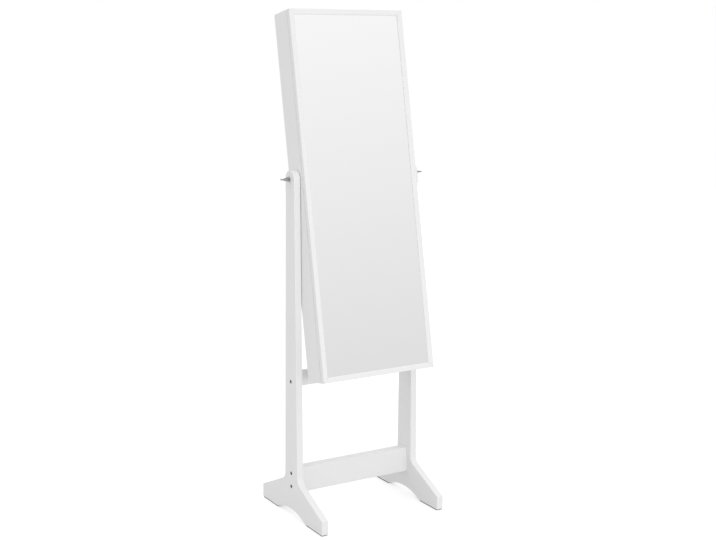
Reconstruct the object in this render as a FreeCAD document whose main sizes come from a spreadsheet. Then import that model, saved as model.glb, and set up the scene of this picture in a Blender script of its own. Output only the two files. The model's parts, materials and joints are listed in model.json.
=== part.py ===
import FreeCAD, Part
import math
import os
from types import SimpleNamespace
import Sketcher

# Jewelry mirror cabinet: a shallow case with a full-length mirror door, hung between two
# footed side frames on a pair of hand screws, so that it leans and can be tilted.
# Millimetres and degrees. +Z is up, the mirror faces -Y, the origin is on the floor
# at the middle of the stand.

# ---------------------------------------------------------------- driving sizes

sizes = {
    # side frames: one board each, a tapered post running out into two feet
    "boardThick": 20,           # thickness of the side frame board
    "sideGap": 1.5,             # between each side frame and the case
    "footLength": 365,          # front to back
    "footEndHeight": 40,        # upright end of a foot, without its pad
    "footSlope": 24.6,          # slope of the foot's upper edge, degrees
    "archSpan": 170,            # width of the arch under the post
    "archRise": 19,             # height of that arch
    "footBlend": 28,            # radius between post and foot
    "footNose": 3,              # radius on the foot's upper end corner
    "postTaper": 0.8,           # how far each edge of the post leans in, degrees
    "postTopRadius": 24.8,       # round top of the post
    "pivotHeight": 993,         # hand screw axis above the floor
    "padThick": 3,              # felt pads under the feet
    "padLength": 90,
    "padWidth": 18,
    "padInset": 3,              # from the end of the foot to its pad

    # rails between the side frames
    "lowerRailHeight": 75,
    "lowerRailThick": 30,
    "lowerRailBottom": 74,      # above the floor
    "middleRailHeight": 44,
    "middleRailThick": 15,
    "stopOverlap": 21,          # how far the middle rail reaches above the case's bottom

    # bolts, barrel nuts and dowels that join rails to side frames
    "boltDiameter": 6,
    "boltHeadDiameter": 10,
    "boltHeadHeight": 6,
    "boltSocket": 5,            # across the flats of the hexagon socket
    "boltSocketDepth": 3,
    "boltReach": 34,            # bolt length inside the rail
    "lowerBoltSpacing": 40,
    "middleBoltDrop": 8,        # below the middle of the middle rail
    "barrelNutDiameter": 10,
    "barrelNutLength": 12,
    "barrelNutInset": 24,       # from the rail's end to the nut's axis
    "dowelDiameter": 8,
    "dowelLength": 30,
    "dowelSeat": 9,             # part of a dowel that sits in the side board
    "middleDowelRise": 10,      # above the middle of the middle rail
    "hiddenSides": 12,          # flats around dowels, barrel nuts and the bores that they hide

    # hand screws and what they run through
    "screwDiameter": 8,
    "screwCollarDiameter": 14,
    "screwCollarLength": 8,
    "screwNeckDiameter": 9,
    "screwWingLength": 18,      # flat wing beyond the collar
    "screwWingWidth": 20,
    "screwWingThick": 3.4,
    "screwWingCorner": 6,
    "leftWingTurn": 6,          # wing angle from level on the left screw, degrees
    "rightWingTurn": 4,         # and on the right screw
    "outerWasherDiameter": 20,
    "outerWasherThick": 1.5,
    "spacerDiameter": 26,       # washer between side frame and case
    "insertDiameter": 12,       # threaded insert in the case side
    "insertFlangeDiameter": 18,
    "insertFlangeThick": 1.5,

    # case
    "cabinetWidth": 370,
    "cabinetHeight": 1044,
    "caseDepth": 74,            # without the door
    "panelThick": 15,
    "pivotToTop": 468,          # hand screw axis to the top of the case
    "pivotToBack": 41,          # hand screw axis to the back of the case
    "leanAngle": 10.8,          # how far the case leans back, degrees
    "backThick": 3,
    "backInset": 5,             # back panel in from the rear edge
    "backGroove": 5,            # depth of its groove
    "liningThick": 3,           # velvet covered board in front of the back panel
    "caseDowelInset": 16,       # case dowels: first one from the front edge
    "caseDowelPitch": 34,

    # shelves and bays
    "shelfThick": 9,
    "shelfHousing": 4,          # depth of the shelf's groove in the case side
    "shelfSetback": 4,          # shelf's front edge behind the case's front
    "topBay": 130,
    "braceletBay": 120,
    "storageBay": 105,
    "bottomBay": 119,           # the necklaces hang in what is left above these three
    "guardHeight": 18,          # low strips along the shelves
    "guardThick": 5,
    "guardLift": 10,            # open gap below a strip
    "columnWidth": 132,         # ring and earring column on the left
    "dividerThick": 9,

    # rings
    "ringRollCount": 8,
    "ringRollDiameter": 21,
    "ringRollGap": 0.5,
    "ringTrayWall": 4,
    "ringTrayFloor": 3,
    "ringTrayDepth": 17,
    "ringTrayDrop": 12,         # below the top shelf

    # earrings
    "earringBoardThick": 3,
    "earringStandoff": 13,      # room for the hooks behind the slotted board
    "earringBoardMargin": 16,   # above and below the board
    "earringBattenWidth": 8,
    "slotLength": 18,
    "slotHeight": 2,
    "slotColumns": 4,
    "slotRows": 10,
    "slotMargin": 16,           # board's edge to the first row

    # necklaces
    "hookRailHeight": 28,
    "hookRailThick": 12,
    "hookRailDrop": 14,         # below the top shelf
    "hookCount": 8,
    "hookMargin": 19,
    "hookWire": 2.4,
    "hookWireSides": 8,
    "hookReach": 13,
    "hookBend": 4,              # how far the slanting run goes out and up
    "hookTip": 5,

    # bracelets
    "rodDiameter": 14,
    "rodDrop": 42,              # below the middle shelf
    "rodFromLining": 30,
    "socketDiameter": 24,
    "socketLength": 10,
    "socketFloor": 2,

    # door: a panel with the mirror on it, edged by four mitred strips
    "doorGap": 1,               # between case and closed door
    "doorPanelThick": 8,
    "glassThick": 3,
    "glassGap": 0.5,            # around the glass
    "frameFace": 15,            # visible width of a strip
    "frameWall": 8,             # part of a strip beside the panel
    "frameLip": 4,              # part of a strip in front of the glass
    "frameBevel": 1.2,          # along the lip's inner edge
    "bumperDiameter": 8,
    "bumperThick": 0.9,
    "bumperInset": 20,          # from the case's top and bottom
    "magnetDiameter": 10,
    "magnetLength": 6,
    "magnetInset": 40,
    "strikeDiameter": 12,
    "strikeThick": 0.8,

    # three butt hinges on the right
    "hingeLength": 51,
    "hingeInset": 80,           # hinge's middle from the case's top and bottom
    "middleHingeDrop": 53,      # middle hinge below the hand screws
    "leafWidth": 13,
    "leafThick": 1.2,
    "leafSink": 1,              # depth of the recess that takes a leaf
    "knuckleDiameter": 5,
    "knuckleGap": 0.3,
    "pinDiameter": 2,

    # clearances
    "boreGap": 0.2,             # around bolts, nuts, dowels and magnets
    "runningGap": 0.05,         # around parts that turn
    "fitGap": 0.1,              # beside parts that slide together
}


class Size:
    # a size and the formula that the model keeps for it

    def __init__(self, formula, value):
        self.formula = formula
        self.value = value

    def __add__(self, other):
        other = asSize(other)
        return Size("(%s + %s)" % (self.formula, other.formula), self.value + other.value)

    def __sub__(self, other):
        other = asSize(other)
        return Size("(%s - %s)" % (self.formula, other.formula), self.value - other.value)

    def __mul__(self, other):
        other = asSize(other)
        return Size("(%s * %s)" % (self.formula, other.formula), self.value * other.value)

    def __truediv__(self, other):
        other = asSize(other)
        return Size("(%s / %s)" % (self.formula, other.formula), self.value / other.value)

    def __neg__(self):
        return Size("(0 - %s)" % self.formula, -self.value)


def asSize(number):
    if isinstance(number, Size):
        return number
    return Size("(%s)" % repr(float(number)), float(number))


def cosine(angle):
    return Size("cos(%s * 1 deg)" % angle.formula, math.cos(math.radians(angle.value)))


def sine(angle):
    return Size("sin(%s * 1 deg)" % angle.formula, math.sin(math.radians(angle.value)))


def tangent(angle):
    return Size("tan(%s * 1 deg)" % angle.formula, math.tan(math.radians(angle.value)))


doc = FreeCAD.newDocument("JewelryMirrorCabinet")
sheet = doc.addObject("Spreadsheet::Sheet", "Sizes")
for row, (alias, number) in enumerate(sizes.items(), start=1):
    sheet.set("A%d" % row, alias)
    sheet.set("B%d" % row, str(number))
    sheet.setAlias("B%d" % row, alias)
doc.recompute()
d = SimpleNamespace(**{name: Size("Sizes." + name, number) for name, number in sizes.items()})
zero = asSize(0)

# ---------------------------------------------------------------- worked-out places

# stand, from the floor's middle
caseHalf = d.cabinetWidth / 2
frameInner = caseHalf + d.sideGap
frameOuter = frameInner + d.boardThick
footHalf = d.footLength / 2
footTop = d.padThick + d.footEndHeight
lowerRailMiddle = d.lowerRailBottom + d.lowerRailHeight / 2
middleRailTop = d.pivotHeight + d.pivotToTop - d.cabinetHeight + d.stopOverlap
middleRailMiddle = middleRailTop - d.middleRailHeight / 2
boltHeights = [
    lowerRailMiddle + d.lowerBoltSpacing / 2,
    lowerRailMiddle - d.lowerBoltSpacing / 2,
    middleRailMiddle - d.middleBoltDrop,
]
railDowelHeight = middleRailMiddle + d.middleDowelRise

# case and door, from the hand screw axis: x across, y to the back, z up
caseTop = d.pivotToTop
caseBottom = d.pivotToTop - d.cabinetHeight
caseBack = d.pivotToBack
caseFront = d.pivotToBack - d.caseDepth
innerHalf = caseHalf - d.panelThick
innerTop = caseTop - d.panelThick
innerBottom = caseBottom + d.panelThick
backFront = caseBack - d.backInset - d.backThick
liningFront = backFront - d.liningThick
shelfFront = caseFront + d.shelfSetback
topShelfTop = innerTop - d.topBay
topShelfBottom = topShelfTop - d.shelfThick
bottomShelfTop = innerBottom + d.bottomBay + d.shelfThick
lowerShelfTop = bottomShelfTop + d.storageBay + d.shelfThick
middleShelfBottom = lowerShelfTop + d.braceletBay
middleShelfTop = middleShelfBottom + d.shelfThick
shelfTops = {
    "top_shelf": topShelfTop,
    "middle_shelf": middleShelfTop,
    "lower_shelf": lowerShelfTop,
    "bottom_shelf": bottomShelfTop,
}
dividerLeft = d.columnWidth - innerHalf
dividerRight = dividerLeft + d.dividerThick
rollPitch = d.ringRollDiameter + d.ringRollGap
trayTop = topShelfBottom - d.ringTrayDrop
trayBottom = trayTop - d.ringTrayWall * 2 - d.ringRollGap - rollPitch * d.ringRollCount
trayFloorFront = liningFront - d.ringTrayFloor
rollCentreY = trayFloorFront - d.ringRollDiameter / 2 - d.ringRollGap
slotBoardTop = trayBottom - d.earringBoardMargin
slotBoardBottom = middleShelfTop + d.earringBoardMargin
hookRailTop = topShelfBottom - d.hookRailDrop
hookHeight = hookRailTop - d.hookRailHeight / 2
hookRailFront = liningFront - d.hookRailThick
rodHeight = middleShelfBottom - d.rodDrop
rodY = liningFront - d.rodFromLining
doorBack = caseFront - d.doorGap
doorPanelFront = doorBack - d.doorPanelThick
glassFront = doorPanelFront - d.glassThick
edgeMiddle = caseHalf - d.panelThick / 2
bumperHeights = [caseTop - d.bumperInset, caseBottom + d.bumperInset]
magnetHeights = [caseTop - d.magnetInset, caseBottom + d.magnetInset]
hingeHeights = [caseTop - d.hingeInset, -d.middleHingeDrop, caseBottom + d.hingeInset]
hingeAxisX = caseHalf + d.knuckleDiameter / 2 + d.knuckleGap
hingeAxisY = caseFront - d.doorGap / 2
caseLeafBack = caseFront + d.leafSink
doorLeafFront = doorBack - d.leafSink
screwHole = d.screwDiameter / 2 + d.runningGap
dowelRadius = d.dowelDiameter / 2
dowelHole = dowelRadius + d.boreGap
caseDowelPlaces = [
    (caseFront + d.caseDowelInset + d.caseDowelPitch * step, height)
    for step in (0, 1)
    for height in (caseTop - d.panelThick / 2, caseBottom + d.panelThick / 2)
]

# ---------------------------------------------------------------- drawing helpers

bodies = []
cuts = []


def newBody(label, placement=None):
    # a piece in the stand's frame, or in the frame that the placement formula gives
    body = doc.addObject("PartDesign::Body", label)
    body.Label = label
    if placement:
        body.setExpression("Placement", placement)
    bodies.append(body)
    return body


def turned(angle):
    # frame on the hand screw axis, turned about that axis
    return (
        "create(<<placement>>; create(<<vector>>; 0; 0; Sizes.pivotHeight);"
        " create(<<rotation>>; create(<<vector>>; 1; 0; 0); %s))" % angle.formula
    )


def caseBody(label):
    return newBody(label, turned(-d.leanAngle))


def originFeature(body, role):
    for feature in body.Origin.OriginFeatures:
        if feature.Role == role:
            return feature
    raise ValueError(role)


def newSketch(body, name, plane, level):
    # a sketch on the plane YZ at x, XZ at y or XY at z = level
    sketch = body.newObject("Sketcher::SketchObject", name)
    sketch.AttachmentSupport = (originFeature(body, plane + "_Plane"), [""])
    sketch.MapMode = "FlatFace"
    offset = -level if plane == "XZ" else level
    sketch.setExpression(".AttachmentOffset.Base.z", offset.formula)
    return sketch


def bindAll(sketch, rows):
    # rows of a constraint and the size that drives it, or None where nothing does
    indices = sketch.addConstraint([constraint for constraint, _ in rows])
    for index, (_, size) in zip(indices, rows):
        if size:
            sketch.setExpression("Constraints[%d]" % index, size.formula)


def pointRows(geometry, end, point):
    return [
        (Sketcher.Constraint("DistanceX", -1, 1, geometry, end, point[0].value), point[0]),
        (Sketcher.Constraint("DistanceY", -1, 1, geometry, end, point[1].value), point[1]),
    ]


def vector(point):
    return FreeCAD.Vector(point[0].value, point[1].value, 0)


def drawOutline(sketch, points, arcs=None, closed=True):
    # straight edges through the points; an arc replaces the edge that starts at a point
    # where arcs gives its middle point and its radius
    arcs = arcs or {}
    count = len(points)
    curves = []
    for index in range(count if closed else count - 1):
        start = vector(points[index])
        end = vector(points[(index + 1) % count])
        if index in arcs:
            curves.append(Part.Arc(start, vector(arcs[index][0]), end))
        else:
            curves.append(Part.LineSegment(start, end))
    edges = []
    for edge, point in zip(sketch.addGeometry(curves), points):
        flipped = sketch.getPoint(edge, 1).distanceToPoint(vector(point)) > 1e-6
        edges.append((edge, 2 if flipped else 1, 1 if flipped else 2))
    rows = []
    for index, (edge, first, last) in enumerate(edges):
        rows += pointRows(edge, first, points[index])
        if closed or index + 1 < len(edges):
            following = edges[(index + 1) % len(edges)]
            rows.append((Sketcher.Constraint("Coincident", edge, last, *following[:2]), None))
        else:
            rows += pointRows(edge, last, points[index + 1])
        if index in arcs:
            radius = arcs[index][1]
            rows.append((Sketcher.Constraint("Radius", edge, radius.value), radius))
    bindAll(sketch, rows)


def rectangle(left, bottom, right, top):
    def draw(sketch):
        drawOutline(sketch, [(left, bottom), (right, bottom), (right, top), (left, top)])
    return draw


def circles(places, radius):
    def draw(sketch):
        rows = []
        for place in places:
            edge = sketch.addGeometry(Part.Circle(vector(place), FreeCAD.Vector(0, 0, 1), radius.value))
            rows += pointRows(edge, 3, place)
            rows.append((Sketcher.Constraint("Radius", edge, radius.value), radius))
        bindAll(sketch, rows)
    return draw


def together(*drawings):
    def draw(sketch):
        for drawing in drawings:
            drawing(sketch)
    return draw


def addPad(body, name, plane, level, towards, length, draw):
    # towards is +1 or -1 along the axis that the plane faces
    sketch = newSketch(body, name + "Sketch", plane, level)
    draw(sketch)
    pad = body.newObject("PartDesign::Pad", name)
    pad.Profile = sketch
    pad.Reversed = (towards > 0) if plane == "XZ" else (towards < 0)
    pad.setExpression("Length", length.formula)
    sketch.Visibility = False
    return pad


def addPocket(body, name, plane, level, towards, depth, draw):
    base = body.Tip
    sketch = newSketch(body, name + "Sketch", plane, level)
    draw(sketch)
    pocket = body.newObject("PartDesign::Pocket", name)
    pocket.Profile = sketch
    pocket.Reversed = (towards < 0) if plane == "XZ" else (towards > 0)
    pocket.setExpression("Length", depth.formula)
    sketch.Visibility = False
    cuts.append((base, pocket))
    return pocket


def addRevolution(body, name, plane, level, axis, draw):
    sketch = newSketch(body, name + "Sketch", plane, level)
    draw(sketch)
    turn = body.newObject("PartDesign::Revolution", name)
    turn.Profile = sketch
    turn.ReferenceAxis = axis(body, sketch)
    turn.Angle = 360
    sketch.Visibility = False
    return turn


def addMirror(body, name, plane, originals):
    mirror = body.newObject("PartDesign::Mirrored", name)
    mirror.Originals = originals
    mirror.MirrorPlane = (originFeature(body, plane + "_Plane"), [""])
    body.Tip = mirror
    return mirror


def addRow(body, name, axis, originals, count, pitch, reverse=False):
    # copies at an even pitch along an axis of the piece's frame
    row = body.newObject("PartDesign::LinearPattern", name)
    row.Originals = originals
    row.Direction = (originFeature(body, axis + "_Axis"), [""])
    row.Reversed = reverse
    row.setExpression("Occurrences", count.formula)
    row.setExpression("Length", ((count - 1) * pitch).formula)
    body.Tip = row
    return row


def addFillet(body, name, radius, isRounded):
    doc.recompute()
    base = body.Tip
    edges = ["Edge%d" % (index + 1) for index, edge in enumerate(base.Shape.Edges) if isRounded(edge)]
    if not edges:
        raise ValueError("no edge for %s" % name)
    fillet = body.newObject("PartDesign::Fillet", name)
    fillet.Base = (base, edges)
    fillet.setExpression("Radius", radius.formula)
    return fillet


def addChamfer(body, name, width, isBevelled):
    doc.recompute()
    base = body.Tip
    edges = ["Edge%d" % (index + 1) for index, edge in enumerate(base.Shape.Edges) if isBevelled(edge)]
    if not edges:
        raise ValueError("no edge for %s" % name)
    chamfer = body.newObject("PartDesign::Chamfer", name)
    chamfer.Base = (base, edges)
    chamfer.setExpression("Size", width.formula)
    return chamfer


def runsAlongX(edge, place):
    # an edge along X that passes through the given y and z
    ends = [vertex.Point for vertex in edge.Vertexes]
    if len(ends) != 2:
        return False
    return all(
        abs(end.y - place[0].value) < 0.01 and abs(end.z - place[1].value) < 0.01 for end in ends
    )


def polygons(places, radius, sides):
    # regular outlines on a construction circle, each with a corner level with its centre
    def draw(sketch):
        rows = []
        for place in places:
            centre = vector(place)
            guide = Part.Circle(centre, FreeCAD.Vector(0, 0, 1), radius.value)
            corners = [guide.value(math.tau / sides * step) for step in range(sides)]
            circle = sketch.addGeometry(guide, True)
            edges = sketch.addGeometry([
                Part.LineSegment(corners[step], corners[(step + 1) % sides]) for step in range(sides)
            ])
            rows += pointRows(circle, 3, place)
            rows.append((Sketcher.Constraint("Radius", circle, radius.value), radius))
            rows.append((Sketcher.Constraint("Horizontal", circle, 3, edges[0], 1), None))
            for step, edge in enumerate(edges):
                following = edges[(step + 1) % sides]
                rows.append((Sketcher.Constraint("Coincident", edge, 2, following, 1), None))
                rows.append((Sketcher.Constraint("PointOnObject", edge, 1, circle), None))
                if step:
                    rows.append((Sketcher.Constraint("Equal", edges[0], edge), None))
        bindAll(sketch, rows)
    return draw


def hiddenRounds(places, radius):
    # dowels, nuts and bores that stay out of sight have flats instead of a round wall
    return polygons(places, radius, int(d.hiddenSides.value))


# ---------------------------------------------------------------- stand

def postEdge(height):
    # half the depth of the post at a height: its edges touch the round top and lean in
    return d.postTopRadius / cosine(d.postTaper) + (d.pivotHeight - height) * tangent(d.postTaper)


def footCorner():
    # where the foot's sloping edge meets the edge of the post
    rise = tangent(d.footSlope)
    lean = tangent(d.postTaper)
    y = (postEdge(footTop) - footHalf * rise * lean) / (asSize(1) - rise * lean)
    return (y, footTop + (footHalf - y) * rise)


def drawSideFrame(sketch):
    archHalf = d.archSpan / 2
    archRadius = (archHalf * archHalf + d.archRise * d.archRise) / (d.archRise * 2)
    shoulderY, shoulderZ = footCorner()
    topY = d.postTopRadius * cosine(d.postTaper)
    topZ = d.pivotHeight + d.postTopRadius * sine(d.postTaper)
    points = [
        (-footHalf, d.padThick),
        (-archHalf, d.padThick),
        (archHalf, d.padThick),
        (footHalf, d.padThick),
        (footHalf, footTop),
        (shoulderY, shoulderZ),
        (topY, topZ),
        (-topY, topZ),
        (-shoulderY, shoulderZ),
        (-footHalf, footTop),
    ]
    archTop = (zero, d.padThick + d.archRise)
    postTop = (zero, d.pivotHeight + d.postTopRadius)
    drawOutline(sketch, points, {1: (archTop, archRadius), 6: (postTop, d.postTopRadius)})


def makeSideFrame(label, side):
    body = newBody(label)
    outer = frameOuter * side
    inner = frameInner * side
    addPad(body, "Board", "YZ", outer, -side, d.boardThick, drawSideFrame)
    shoulderY, shoulderZ = footCorner()
    addFillet(body, "FootBlends", d.footBlend, lambda edge: (
        runsAlongX(edge, (shoulderY, shoulderZ)) or runsAlongX(edge, (-shoulderY, shoulderZ))
    ))
    addFillet(body, "FootNoses", d.footNose, lambda edge: (
        runsAlongX(edge, (footHalf, footTop)) or runsAlongX(edge, (-footHalf, footTop))
    ))
    boltPlaces = [(zero, height) for height in boltHeights]
    addPocket(body, "ScrewHole", "YZ", outer, -side, d.boardThick,
              circles([(zero, d.pivotHeight)], screwHole))
    addPocket(body, "BoltHoles", "YZ", outer, -side, d.boardThick,
              hiddenRounds(boltPlaces, d.boltDiameter / 2 + d.boreGap))
    addPocket(body, "BoltHeadSeats", "YZ", outer, -side, d.boltHeadHeight,
              circles(boltPlaces, d.boltHeadDiameter / 2 + d.boreGap))
    addPocket(body, "DowelHole", "YZ", inner, side, d.dowelSeat,
              hiddenRounds([(zero, railDowelHeight)], dowelHole))
    return body


def makeRail(label, thick, bottom, top, heights, dowelHeights):
    # a rail between the side frames, drilled for bolts, barrel nuts and dowels
    body = newBody(label)
    addPad(body, "Rail", "YZ", -frameInner, 1, frameInner * 2,
           rectangle(-thick / 2, bottom, thick / 2, top))
    nutAxis = frameInner - d.barrelNutInset
    for side, name in ((-1, "Left"), (1, "Right")):
        addPocket(body, name + "BoltHoles", "YZ", frameInner * side, -side, d.boltReach,
                  hiddenRounds([(zero, height) for height in heights],
                               d.boltDiameter / 2 + d.boreGap))
        if dowelHeights:
            addPocket(body, name + "DowelHole", "YZ", frameInner * side, -side,
                      d.dowelLength - d.dowelSeat,
                      hiddenRounds([(zero, height) for height in dowelHeights], dowelHole))
        addPocket(body, name + "NutHoles", "XZ", thick / 2, -1,
                  thick / 2 + d.barrelNutLength / 2,
                  hiddenRounds([(nutAxis * side, height) for height in heights],
                               d.barrelNutDiameter / 2 + d.boreGap))
    return body


def makeRailBolts():
    body = newBody("rail_bolts")
    places = [(zero, height) for height in boltHeights]
    heads = addPad(body, "Heads", "YZ", -frameOuter, 1, d.boltHeadHeight,
                   circles(places, d.boltHeadDiameter / 2))
    shanks = addPad(body, "Shanks", "YZ", d.boltHeadHeight - frameOuter, 1,
                    d.boardThick - d.boltHeadHeight + d.boltReach,
                    hiddenRounds(places, d.boltDiameter / 2))
    sockets = addPocket(body, "Sockets", "YZ", -frameOuter, 1, d.boltSocketDepth,
                        polygons(places, d.boltSocket / math.sqrt(3), 6))
    addMirror(body, "RightBolts", "YZ", [heads, shanks, sockets])
    return body


def makeBarrelNuts():
    body = newBody("barrel_nuts")
    nutAxis = frameInner - d.barrelNutInset
    places = [(nutAxis * side, height) for side in (-1, 1) for height in boltHeights]
    addPad(body, "Barrels", "XZ", -d.barrelNutLength / 2, 1, d.barrelNutLength,
           hiddenRounds(places, d.barrelNutDiameter / 2))
    addPocket(body, "Threads", "YZ", -frameInner, 1, frameInner * 2,
              hiddenRounds([(zero, height) for height in boltHeights],
                           d.boltDiameter / 2 + d.runningGap))
    return body


def makeRailDowels():
    body = newBody("rail_dowels")
    dowel = addPad(body, "LeftDowel", "YZ", -frameInner - d.dowelSeat + d.fitGap, 1,
                   d.dowelLength - d.fitGap * 2,
                   hiddenRounds([(zero, railDowelHeight)], dowelRadius))
    addMirror(body, "RightDowel", "YZ", [dowel])
    return body


def makeFootPads():
    body = newBody("foot_pads")
    middle = (frameInner + frameOuter) / 2
    ends = (footHalf - d.padInset - d.padLength, footHalf - d.padInset)
    pads = []
    for side in (-1, 1):
        left = middle * side - d.padWidth / 2
        right = middle * side + d.padWidth / 2
        pads.append(rectangle(left, ends[0], right, ends[1]))
        pads.append(rectangle(left, -ends[1], right, -ends[0]))
    addPad(body, "Pads", "XY", zero, 1, d.padThick, together(*pads))
    return body


# ---------------------------------------------------------------- hand screws

def makeHandScrew(label, side, wingTurn):
    # shank, collar and neck turned in one, with a flat wing to grip
    body = newBody(label, turned(wingTurn))
    tip = (frameOuter - d.boardThick - d.sideGap - d.panelThick) * side
    collar = (frameOuter + d.outerWasherThick + d.runningGap) * side
    collarEnd = collar + d.screwCollarLength * side
    neckEnd = collarEnd + d.screwWingLength / 3 * side
    wingEnd = collarEnd + d.screwWingLength * side
    shank = d.screwDiameter / 2
    points = [
        (tip, zero),
        (tip, shank),
        (collar, shank),
        (collar, d.screwCollarDiameter / 2),
        (collarEnd, d.screwCollarDiameter / 2),
        (collarEnd, d.screwNeckDiameter / 2),
        (neckEnd, d.screwWingThick / 2),
        (neckEnd, zero),
    ]
    addRevolution(body, "Turned", "XY", zero, lambda piece, _: (originFeature(piece, "X_Axis"), [""]),
                  lambda sketch: drawOutline(sketch, points))
    wingRoot = d.screwNeckDiameter / 2
    wingHalf = d.screwWingWidth / 2
    corner = d.screwWingCorner
    middleTurn = math.sqrt(0.5)
    wing = [
        (collarEnd, -wingRoot),
        (neckEnd, -wingHalf),
        (wingEnd - corner * side, -wingHalf),
        (wingEnd, -wingHalf + corner),
        (wingEnd, wingHalf - corner),
        (wingEnd - corner * side, wingHalf),
        (neckEnd, wingHalf),
        (collarEnd, wingRoot),
    ]
    bulge = corner * (1 - middleTurn)
    arcs = {
        2: ((wingEnd - bulge * side, -wingHalf + bulge), corner),
        4: ((wingEnd - bulge * side, wingHalf - bulge), corner),
    }
    addPad(body, "Wing", "XY", -d.screwWingThick / 2, 1, d.screwWingThick,
           lambda sketch: drawOutline(sketch, wing, arcs))
    return body


def makeRings(label, maker, start, thick, outerRadius, innerRadius, towards=1):
    # a pair of washers on the hand screw axis, one at each side
    body = maker(label)
    axis = [(zero, zero if maker is caseBody else d.pivotHeight)]
    ring = addPad(body, "LeftRing", "YZ", start, towards, thick,
                  together(circles(axis, outerRadius), circles(axis, innerRadius)))
    addMirror(body, "RightRing", "YZ", [ring])
    return body


def makePivotInserts():
    body = caseBody("pivot_inserts")
    axis = [(zero, zero)]
    barrel = addPad(body, "Barrel", "YZ", -caseHalf, 1, d.panelThick,
                    circles(axis, d.insertDiameter / 2))
    flange = addPad(body, "Flange", "YZ", -innerHalf, 1, d.insertFlangeThick,
                    circles(axis, d.insertFlangeDiameter / 2))
    thread = addPocket(body, "Thread", "YZ", -caseHalf, 1, d.panelThick + d.insertFlangeThick,
                       circles(axis, screwHole))
    addMirror(body, "RightInsert", "YZ", [barrel, flange, thread])
    return body


# ---------------------------------------------------------------- case

def makeSidePanel(label, side):
    body = caseBody(label)
    outer = caseHalf * side
    inner = innerHalf * side
    addPad(body, "Panel", "YZ", outer, -side, d.panelThick,
           rectangle(caseFront, caseBottom, caseBack, caseTop))
    addPocket(body, "BackGroove", "YZ", inner, side, d.backGroove,
              rectangle(backFront, innerBottom - d.backGroove,
                        backFront + d.backThick, innerTop + d.backGroove))
    addPocket(body, "ShelfHousings", "YZ", inner, side, d.shelfHousing, together(*[
        rectangle(shelfFront, shelfTop - d.shelfThick, liningFront, shelfTop)
        for shelfTop in shelfTops.values()
    ]))
    addPocket(body, "InsertHole", "YZ", outer, -side, d.panelThick,
              circles([(zero, zero)], d.insertDiameter / 2))
    addPocket(body, "DowelHoles", "YZ", inner, side, d.dowelSeat,
              hiddenRounds(caseDowelPlaces, dowelHole))
    if side < 0:
        places = [(edgeMiddle * side, height) for height in magnetHeights]
        addPocket(body, "MagnetHoles", "XZ", caseFront, 1, d.magnetLength,
                  circles(places, d.magnetDiameter / 2 + d.boreGap))
    else:
        addPocket(body, "LeafRecesses", "XZ", caseFront, 1, d.leafSink, together(*[
            rectangle(caseHalf - d.leafWidth, height - d.hingeLength / 2,
                      caseHalf, height + d.hingeLength / 2)
            for height in hingeHeights
        ]))
    return body


def makeEndPanel(label, inner, upwards):
    # top or bottom of the case, from its inner face outwards
    body = caseBody(label)
    addPad(body, "Panel", "XY", inner, upwards, d.panelThick,
           rectangle(-innerHalf, caseFront, innerHalf, caseBack))
    addPocket(body, "BackGroove", "XY", inner, upwards, d.backGroove,
              rectangle(-innerHalf, backFront, innerHalf, backFront + d.backThick))
    heights = inner + d.panelThick / 2 * upwards
    places = [(y, z) for y, z in caseDowelPlaces if abs(z.value - heights.value) < 0.01]
    for side, name in ((-1, "Left"), (1, "Right")):
        addPocket(body, name + "DowelHoles", "YZ", innerHalf * side, -side,
                  d.dowelLength - d.dowelSeat, hiddenRounds(places, dowelHole))
    return body


def makeCaseDowels():
    body = caseBody("case_dowels")
    dowels = addPad(body, "LeftDowels", "YZ", -innerHalf - d.dowelSeat + d.fitGap, 1,
                    d.dowelLength - d.fitGap * 2, hiddenRounds(caseDowelPlaces, dowelRadius))
    addMirror(body, "RightDowels", "YZ", [dowels])
    return body


def makeBackPanel():
    body = caseBody("back_panel")
    side = innerHalf + d.backGroove - d.fitGap
    addPad(body, "Panel", "XZ", backFront, 1, d.backThick,
           rectangle(-side, innerBottom - d.backGroove + d.fitGap,
                     side, innerTop + d.backGroove - d.fitGap))
    return body


def makeLining():
    body = caseBody("velvet_lining")
    addPad(body, "Board", "XZ", liningFront, 1, d.liningThick,
           rectangle(-innerHalf + d.fitGap, innerBottom + d.fitGap,
                     innerHalf - d.fitGap, innerTop - d.fitGap))
    return body


def makeShelf(label, shelfTop):
    body = caseBody(label)
    side = innerHalf + d.shelfHousing - d.fitGap
    addPad(body, "Shelf", "XY", shelfTop - d.shelfThick, 1, d.shelfThick,
           rectangle(-side, shelfFront, side, liningFront))
    return body


def makeGuardStrips():
    body = caseBody("guard_strips")
    strips = [
        rectangle(-innerHalf, floor + d.guardLift, innerHalf, floor + d.guardLift + d.guardHeight)
        for floor in (topShelfTop, lowerShelfTop, bottomShelfTop, innerBottom)
    ]
    addPad(body, "Strips", "XZ", shelfFront, 1, d.guardThick, together(*strips))
    return body


def makeDivider():
    body = caseBody("column_divider")
    addPad(body, "Divider", "XZ", shelfFront, 1, liningFront - shelfFront,
           rectangle(dividerLeft, middleShelfTop, dividerRight, topShelfBottom))
    return body


# ---------------------------------------------------------------- jewelry fittings

def makeRingTray():
    body = caseBody("ring_tray")
    left = -innerHalf + d.fitGap
    right = dividerLeft - d.fitGap
    wall = d.ringTrayWall
    addPad(body, "Tray", "XZ", liningFront, -1, d.ringTrayDepth,
           rectangle(left, trayBottom, right, trayTop))
    addPocket(body, "Well", "XZ", liningFront - d.ringTrayDepth, 1,
              d.ringTrayDepth - d.ringTrayFloor,
              rectangle(left + wall, trayBottom + wall, right - wall, trayTop - wall))
    return body


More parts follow.
